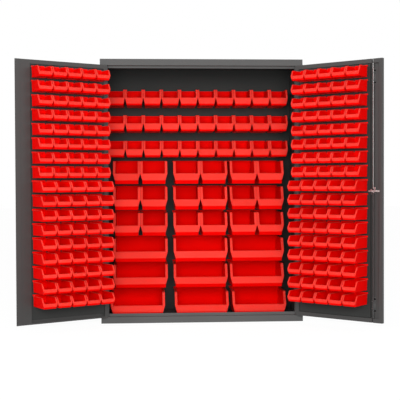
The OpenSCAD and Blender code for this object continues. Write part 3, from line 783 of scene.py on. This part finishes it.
def screw(s, inner, outer):
    """A pan-headed screw between two depths: a shank and a head whose rim is rounded off."""
    seat = outer - s.screw_height
    shank, head, crown = 0.35 * s.screw_radius, s.screw_radius, 0.85 * s.screw_radius
    profile = [
        (shank, inner), (shank, seat), (head, seat), (head, seat + s.screw_height / 2), (crown, outer)
    ]
    return lathe(profile, steps=20)


def plate_rings(low, high, edge, steps=48):
    """A round-ended plate: its outline, two half circles apart, at the door and round the front edge."""
    radius = (high[0] - low[0]) / 2
    straight = (high[2] - low[2]) / 2 - radius
    angle = np.linspace(0, 2 * math.pi, steps, endpoint=False) + math.pi / steps
    middle = (low + high) / 2
    turn = np.radians([0, 30, 60, 90])
    insets = np.concatenate([[0], edge * (1 - np.cos(turn))])
    depths = np.concatenate([[high[1]], low[1] + edge * (1 - np.sin(turn))])
    reach = radius - insets[:, None]
    return np.stack([
        middle[0] + reach * np.cos(angle), np.repeat(depths[:, None], steps, 1),
        middle[2] + reach * np.sin(angle) + straight * np.sign(np.sin(angle))
    ], -1)


# Materials


def add_node(tree, kind, inputs=None, **settings):
    """A node with its settings, and inputs that are values or other nodes' sockets."""
    made = tree.nodes.new(kind)
    for name, value in settings.items():
        setattr(made, name, value)
    for name, value in (inputs or {}).items():
        if isinstance(value, bpy.types.NodeSocket):
            tree.links.new(value, made.inputs[name])
        else:
            made.inputs[name].default_value = value
    return made


def grain_group():
    """Node group of broad mottling and fine grain from two noises on Object coordinates."""
    name = "Mottle and grain"
    if name in bpy.data.node_groups:
        return bpy.data.node_groups[name]
    group = bpy.data.node_groups.new(name, "ShaderNodeTree")
    for socket, default in (("Mottle Scale", 3.0), ("Grain Scale", 300.0)):
        scale = group.interface.new_socket(socket, in_out="INPUT", socket_type="NodeSocketFloat")
        scale.default_value = default
    for socket in ("Mottle", "Grain"):
        group.interface.new_socket(socket, in_out="OUTPUT", socket_type="NodeSocketFloat")
    given = group.nodes.new("NodeGroupInput")
    result = group.nodes.new("NodeGroupOutput")
    place = group.nodes.new("ShaderNodeTexCoord").outputs["Object"]
    broad = add_node(
        group, "ShaderNodeTexNoise",
        {"Vector": place, "Scale": given.outputs["Mottle Scale"], "Detail": 4.0, "Roughness": 0.6}
    )
    fine = add_node(
        group, "ShaderNodeTexNoise",
        {"Vector": place, "Scale": given.outputs["Grain Scale"], "Detail": 1.0, "Roughness": 0.5}
    )
    group.links.new(broad.outputs["Fac"], result.inputs["Mottle"])
    group.links.new(fine.outputs["Fac"], result.inputs["Grain"])
    return group


def new_material(name):
    """An empty material, its node tree and its Principled shader."""
    material = bpy.data.materials.new(name)
    material.use_nodes = True
    tree = material.node_tree
    tree.nodes.clear()
    shader = tree.nodes.new("ShaderNodeBsdfPrincipled")
    output = tree.nodes.new("ShaderNodeOutputMaterial")
    tree.links.new(shader.outputs["BSDF"], output.inputs["Surface"])
    return material, tree, shader


def shade(colour, factor):
    """A colour made lighter or darker, with full alpha."""
    return (*(channel * factor for channel in colour), 1.0)


def mixed(tree, factor, first, second):
    """Socket of a colour between two colours."""
    mix = add_node(tree, "ShaderNodeMix", data_type="RGBA")
    for name, value in (("Factor_Float", factor), ("A_Color", first), ("B_Color", second)):
        socket = next(s for s in mix.inputs if s.identifier == name)
        if isinstance(value, bpy.types.NodeSocket):
            tree.links.new(value, socket)
        else:
            socket.default_value = value
    return next(s for s in mix.outputs if s.identifier == "Result_Color")


def spread(tree, value, low, high):
    """Socket of a noise value stretched from low to high."""
    return add_node(
        tree, "ShaderNodeMapRange",
        {"Value": value, "From Min": 0.3, "From Max": 0.7, "To Min": low, "To Max": high}
    ).outputs["Result"]


def rough_bump(tree, height, strength, distance):
    """Socket of a normal with small bumps."""
    return add_node(
        tree, "ShaderNodeBump", {"Height": height, "Strength": strength, "Distance": distance}
    ).outputs["Normal"]


def painted_steel(name, colour, gloss):
    """Satin powder coat: slightly uneven in colour and gloss, with the fine peel of sprayed powder."""
    material, tree, shader = new_material(name)
    grain = add_node(
        tree, "ShaderNodeGroup", {"Mottle Scale": 2.2, "Grain Scale": 420}, node_tree=grain_group()
    )
    mottle = grain.outputs["Mottle"]
    tone = mixed(tree, spread(tree, mottle, 0.0, 1.0), shade(colour, 0.93), shade(colour, 1.06))
    tree.links.new(tone, shader.inputs["Base Color"])
    tree.links.new(spread(tree, mottle, 0.40, 0.50), shader.inputs["Roughness"])
    tree.links.new(rough_bump(tree, grain.outputs["Grain"], 0.12, 0.0006), shader.inputs["Normal"])
    shader.inputs["Specular IOR Level"].default_value = gloss
    return material


def moulded_plastic(name, colour, lip_sheen_colour):
    """Semi-gloss moulded plastic: each bin has its own tone and light scatters a little under its surface. Its
    thin rims and lips are a paler red, a painted sheen.
    """
    material, tree, shader = new_material(name)
    grain = add_node(
        tree, "ShaderNodeGroup", {"Mottle Scale": 9, "Grain Scale": 650}, node_tree=grain_group()
    )
    tone = add_node(tree, "ShaderNodeAttribute", attribute_name="tone").outputs["Fac"]
    rim = add_node(tree, "ShaderNodeAttribute", attribute_name="rim").outputs["Fac"]
    own = add_node(tree, "ShaderNodeMapRange", {"Value": tone, "From Min": -1.0, "From Max": 1.0})
    body = mixed(tree, own.outputs["Result"], shade(colour, 0.96), shade(colour, 1.04))
    # Rims and lips take the paler red: a painted sheen
    lip = mixed(tree, own.outputs["Result"], shade(lip_sheen_colour, 0.86), shade(lip_sheen_colour, 1.08))
    tree.links.new(mixed(tree, rim, body, lip), shader.inputs["Base Color"])
    tree.links.new(spread(tree, grain.outputs["Mottle"], 0.30, 0.40), shader.inputs["Roughness"])
    tree.links.new(rough_bump(tree, grain.outputs["Grain"], 0.06, 0.0004), shader.inputs["Normal"])
    shader.inputs["Specular IOR Level"].default_value = 0.05
    shader.inputs["Subsurface Weight"].default_value = 0.35
    shader.inputs["Subsurface Radius"].default_value = (1.0, 0.12, 0.06)
    shader.inputs["Subsurface Scale"].default_value = 12 * MM
    return material


def plated_metal(name, colour, smooth, dull):
    """Plated metal: a bright layer with faint clouding and fine grain."""
    material, tree, shader = new_material(name)
    grain = add_node(
        tree, "ShaderNodeGroup", {"Mottle Scale": 25, "Grain Scale": 900}, node_tree=grain_group()
    )
    mottle = grain.outputs["Mottle"]
    shader.inputs["Metallic"].default_value = 1.0
    tone = mixed(tree, spread(tree, mottle, 0.0, 1.0), shade(colour, 0.86), shade(colour, 1.05))
    tree.links.new(tone, shader.inputs["Base Color"])
    tree.links.new(spread(tree, mottle, smooth, dull), shader.inputs["Roughness"])
    tree.links.new(rough_bump(tree, grain.outputs["Grain"], 0.05, 0.0003), shader.inputs["Normal"])
    return material


def finish_nodes(material, slot_name):
    """Gives one finish to every shown CAD node of a material slot of the record."""
    for node, slot_of_node in SLOT_OF.items():
        if slot_of_node == slot_name:
            for slot in NODES[node].material_slots:
                slot.material = material


def door_piece(name, surface, place, node, material):
    """A piece on a door that takes the place of a CAD node, with its body."""
    piece = mesh_object(name, surface._replace(points=place.world(surface.points)))
    piece.data.materials.append(material)
    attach(piece, BODY_OF[node])
    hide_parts(node)
    return piece


def round_edges(piece, width):
    """Rounds the bent and cut edges of a piece: loose triangles are welded, then bevelled."""
    piece.modifiers.new("Join", "WELD").merge_threshold = WELD_DISTANCE
    bevel = piece.modifiers.new("Round", "BEVEL")
    bevel.width = width
    bevel.segments = 2
    bevel.limit_method = "ANGLE"
    bevel.angle_limit = math.radians(40)


# Operators


class CABINET_OT_stage(bpy.types.Operator):
    """Add the floor, the white surroundings, the lamps and the camera"""

    bl_idname = "cabinet.stage"
    bl_label = "Stage"

    def execute(self, context):
        s = context.scene.cabinet.stage
        context.scene.view_settings.view_transform = "Standard"
        self.floor(context, s)
        self.surroundings(context, s)
        x, y, z = SIDE_LAMP_AT
        self.lamp(context, "left", (-x, y, z), SIDE_LAMP_SIZE, s.left_light)
        self.lamp(context, "right", (x, y, z), SIDE_LAMP_SIZE, s.right_light)
        front = self.lamp(context, "front", FRONT_LAMP_AT, FRONT_LAMP_SIZE, s.front_light)
        front.visible_glossy = False
        self.camera(context, s)
        return {"FINISHED"}

    def floor(self, context, s):
        """White ground: the camera sees it white with a soft shadow, and it throws little light up."""
        half = s.floor_size / 2
        corners = np.array([(-half, -half, 0), (half, -half, 0), (half, half, 0), (-half, half, 0)], float)
        floor = mesh_object("floor", Surface(corners, [np.arange(4)[None]], np.zeros(4)))
        material = bpy.data.materials.new("White floor")
        material.use_nodes = True
        tree = material.node_tree
        tree.nodes.clear()
        seen = self.seen_directly(tree)
        white_share = 0.9
        share = add_node(tree, "ShaderNodeMath", {0: seen, 1: white_share}, operation="MULTIPLY")
        grey = add_node(tree, "ShaderNodeMapRange", {"Value": seen, "To Min": 0.12, "To Max": 0.7})
        lit = add_node(tree, "ShaderNodeBsdfDiffuse", {"Color": grey.outputs["Result"]})
        white = add_node(tree, "ShaderNodeEmission", {"Color": WHITE, "Strength": 1.06})
        both = add_node(
            tree, "ShaderNodeMixShader",
            {0: share.outputs["Value"], 1: lit.outputs["BSDF"], 2: white.outputs["Emission"]}
        )
        output = tree.nodes.new("ShaderNodeOutputMaterial")
        tree.links.new(both.outputs["Shader"], output.inputs["Surface"])
        floor.data.materials.append(material)

    def seen_directly(self, tree):
        """Socket that is 1 for camera, glossy and transmission rays."""
        path = tree.nodes.new("ShaderNodeLightPath").outputs
        mirror = add_node(
            tree, "ShaderNodeMath", {0: path["Is Glossy Ray"], 1: path["Is Transmission Ray"]},
            operation="MAXIMUM"
        )
        return add_node(
            tree, "ShaderNodeMath", {0: path["Is Camera Ray"], 1: mirror.outputs["Value"]},
            operation="MAXIMUM"
        ).outputs["Value"]

    def surroundings(self, context, s):
        """A white world that lights the object less than it shows."""
        world = bpy.data.worlds.new("White surroundings")
        world.use_nodes = True
        tree = world.node_tree
        tree.nodes.clear()
        seen = self.seen_directly(tree)
        strength = add_node(
            tree, "ShaderNodeMapRange", {"Value": seen, "To Min": s.ambient, "To Max": 1.0}
        ).outputs["Result"]
        light = add_node(tree, "ShaderNodeBackground", {"Color": WHITE, "Strength": strength})
        output = tree.nodes.new("ShaderNodeOutputWorld")
        tree.links.new(light.outputs["Background"], output.inputs["Surface"])
        context.scene.world = world

    def lamp(self, context, name, at, size, power):
        """A square soft lamp at a point, turned to the cabinet."""
        data = bpy.data.lights.new(name, "AREA")
        data.size = size
        data.energy = power
        lamp = bpy.data.objects.new(name, data)
        lamp.location = at
        lamp.rotation_euler = (Vector(LAMP_AIM) - Vector(at)).to_track_quat("-Z", "Y").to_euler()
        context.scene.collection.objects.link(lamp)
        return lamp

    def camera(self, context, s):
        """A camera that looks along +Y, then is turned, tilted and rolled."""
        data = bpy.data.cameras.new("camera")
        data.sensor_width = 36
        data.lens = s.focal_pixels / PHOTO_PIXELS * data.sensor_width
        camera = bpy.data.objects.new("camera", data)
        level = Matrix.Rotation(s.yaw, 4, "Z") @ Matrix.Rotation(math.pi / 2 + s.pitch, 4, "X")
        camera.matrix_world = Matrix.Translation(s.camera_at) @ level @ Matrix.Rotation(s.roll, 4, "Z")
        context.scene.collection.objects.link(camera)
        context.scene.camera = camera


class CABINET_OT_bins(bpy.types.Operator):
    """Hang the red bins on the louvers of the back and the doors"""

    bl_idname = "cabinet.bins"
    bl_label = "Bins"

    def execute(self, context):
        settings = context.scene.cabinet
        finish = settings.finish
        plastic = moulded_plastic("Red moulded plastic", finish.bin_red, finish.lip_sheen_red)
        rng = np.random.default_rng(7)
        for kind in BIN_KINDS:
            for node in sorted(n for n in NODES if kind.prefix in n):
                side = node.split("_")[0]
                piece = hang_bins(kind, node, PLACES.get(side, PLACES["back"]), settings.bins, rng)
                piece.data.materials.append(plastic)
                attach(piece, BODY_OF[node])
                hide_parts(node)
        return {"FINISHED"}


class CABINET_OT_sheet_metal(bpy.types.Operator):
    """Paint the body, the doors and the louvered panels, fold the left door and add its astragal"""

    bl_idname = "cabinet.sheet_metal"
    bl_label = "Sheet metal"

    def execute(self, context):
        settings = context.scene.cabinet
        finish = settings.finish
        finish_nodes(painted_steel("Body paint", finish.body_paint, gloss=0.3), "body_paint")
        # The louvered panels are painted darker than the body: painted shade inside the cabinet
        finish_nodes(painted_steel("Shaded inner paint", finish.inner_paint, gloss=0.15), "inner_paint")
        for node in ("left_side_panel", "right_side_panel", "top_panel", "base_pan", "back_panel"):
            round_edges(NODES[node], BODY_EDGE)
        # The doors take a darker copy of the body paint: painted shade
        paint = painted_steel("Shaded door paint", finish.shaded_door_paint, gloss=0.3)
        right_pan = NODES["right_door_pan"]
        right_pan.material_slots[0].material = paint
        round_edges(right_pan, DOOR_EDGE)
        door = PLACES["left"]
        low, high = local_box("left_door_pan", door)
        left_tray = door_piece("left_door_tray", tray(low, high, settings.door), door, "left_door_pan", paint)
        round_edges(left_tray, DOOR_EDGE)
        strip_low, strip_high = local_box("astragal", door)
        strip_low[2], strip_high[2] = low[2], high[2]
        strip_high[0] = high[0] + settings.door.lap
        strip = door_piece("astragal_strip", plate(strip_low, strip_high), door, "astragal", paint)
        round_edges(strip, DOOR_EDGE)
        return {"FINISHED"}


class CABINET_OT_lock(bpy.types.Operator):
    """Plate the lock rods, the cam and the hinge pins, and add the guide screws"""

    bl_idname = "cabinet.lock"
    bl_label = "Lock"

    def execute(self, context):
        settings = context.scene.cabinet
        finish = settings.finish
        finish_nodes(plated_metal("Zinc plate", finish.zinc, smooth=0.32, dull=0.46), "zinc_steel")
        # The lower rod gets a darker, rougher zinc than the upper rod
        dull_zinc = plated_metal("Dull zinc", finish.dull_zinc, smooth=0.45, dull=0.60)
        NODES["lower_lock_rod"].material_slots[0].material = dull_zinc
        round_edges(NODES["lock_cam"], LOCK_EDGE)
        round_edges(NODES["rod_guides"], LOCK_EDGE)
        door = PLACES["right"]
        points = door.local(node_points("rod_guide_screws"))
        low, high = points.min(0), points.max(0)
        shape = screw(settings.lever, low[1], high[1])
        middle = (low[0] + high[0]) / 2
        heights = levels(points[:, 2], step=2 * settings.lever.screw_radius)
        screws = joined([moved(shape, (middle, 0, z)) for z in heights])
        black = plated_metal("Black steel", finish.black_steel, smooth=0.40, dull=0.55)
        door_piece("guide_screws", screws, door, "rod_guide_screws", black)
        return {"FINISHED"}


class CABINET_OT_handle(bpy.types.Operator):
    """Add the chrome lever handle and its plate"""

    bl_idname = "cabinet.handle"
    bl_label = "Handle"

    def execute(self, context):
        settings = context.scene.cabinet
        s = settings.lever
        chrome = plated_metal("Chrome plate", settings.finish.chrome, smooth=0.08, dull=0.16)
        door = PLACES["right"]
        plate_low, plate_high = local_box("handle_plate", door)
        escutcheon = swept(plate_rings(plate_low, plate_high, s.edge))
        door_piece("escutcheon_plate", escutcheon, door, "handle_plate", chrome)
        low, high = local_box("door_handle", door)
        middle = (plate_low + plate_high) / 2
        spindle = np.array((middle[0], 0, middle[2]))
        hub = lever_hub(s, low[1], high[1])
        arm = lever_arm(s, low[1], high[0] - spindle[0])
        door_piece("lever_handle", moved(joined([hub, arm]), spindle), door, "door_handle", chrome)
        return {"FINISHED"}


class CABINET_PT_panel(bpy.types.Panel):
    """Buttons and settings of the cabinet"""

    bl_idname = "CABINET_PT_panel"
    bl_label = "Bin Cabinet"
    bl_space_type = "VIEW_3D"
    bl_region_type = "UI"
    bl_category = "Cabinet"

    def draw(self, context):
        column = self.layout.column()
        for operator in OPERATORS:
            column.operator(operator.bl_idname)
        settings = context.scene.cabinet
        for group in (settings.bins, settings.door, settings.lever, settings.finish, settings.stage):
            for name in group.__annotations__:
                column.prop(group, name)


GROUPS = (BinSettings, DoorSettings, LeverSettings, FinishSettings, StageSettings, CabinetSettings)
OPERATORS = (
    CABINET_OT_stage, CABINET_OT_bins, CABINET_OT_sheet_metal, CABINET_OT_lock, CABINET_OT_handle
)


def register():
    """Adds the classes and the scene's settings."""
    for item in (*GROUPS, *OPERATORS, CABINET_PT_panel):
        bpy.utils.register_class(item)
    bpy.types.Scene.cabinet = bpy.props.PointerProperty(type=CabinetSettings)


def unregister():
    """Takes the settings and the classes away again."""
    del bpy.types.Scene.cabinet
    for item in reversed((*GROUPS, *OPERATORS, CABINET_PT_panel)):
        bpy.utils.unregister_class(item)


def main():
    """Dresses the cabinet."""
    register()
    bpy.ops.cabinet.stage()
    bpy.ops.cabinet.bins()
    bpy.ops.cabinet.sheet_metal()
    bpy.ops.cabinet.lock()
    bpy.ops.cabinet.handle()


if __name__ == "__main__":
    main()
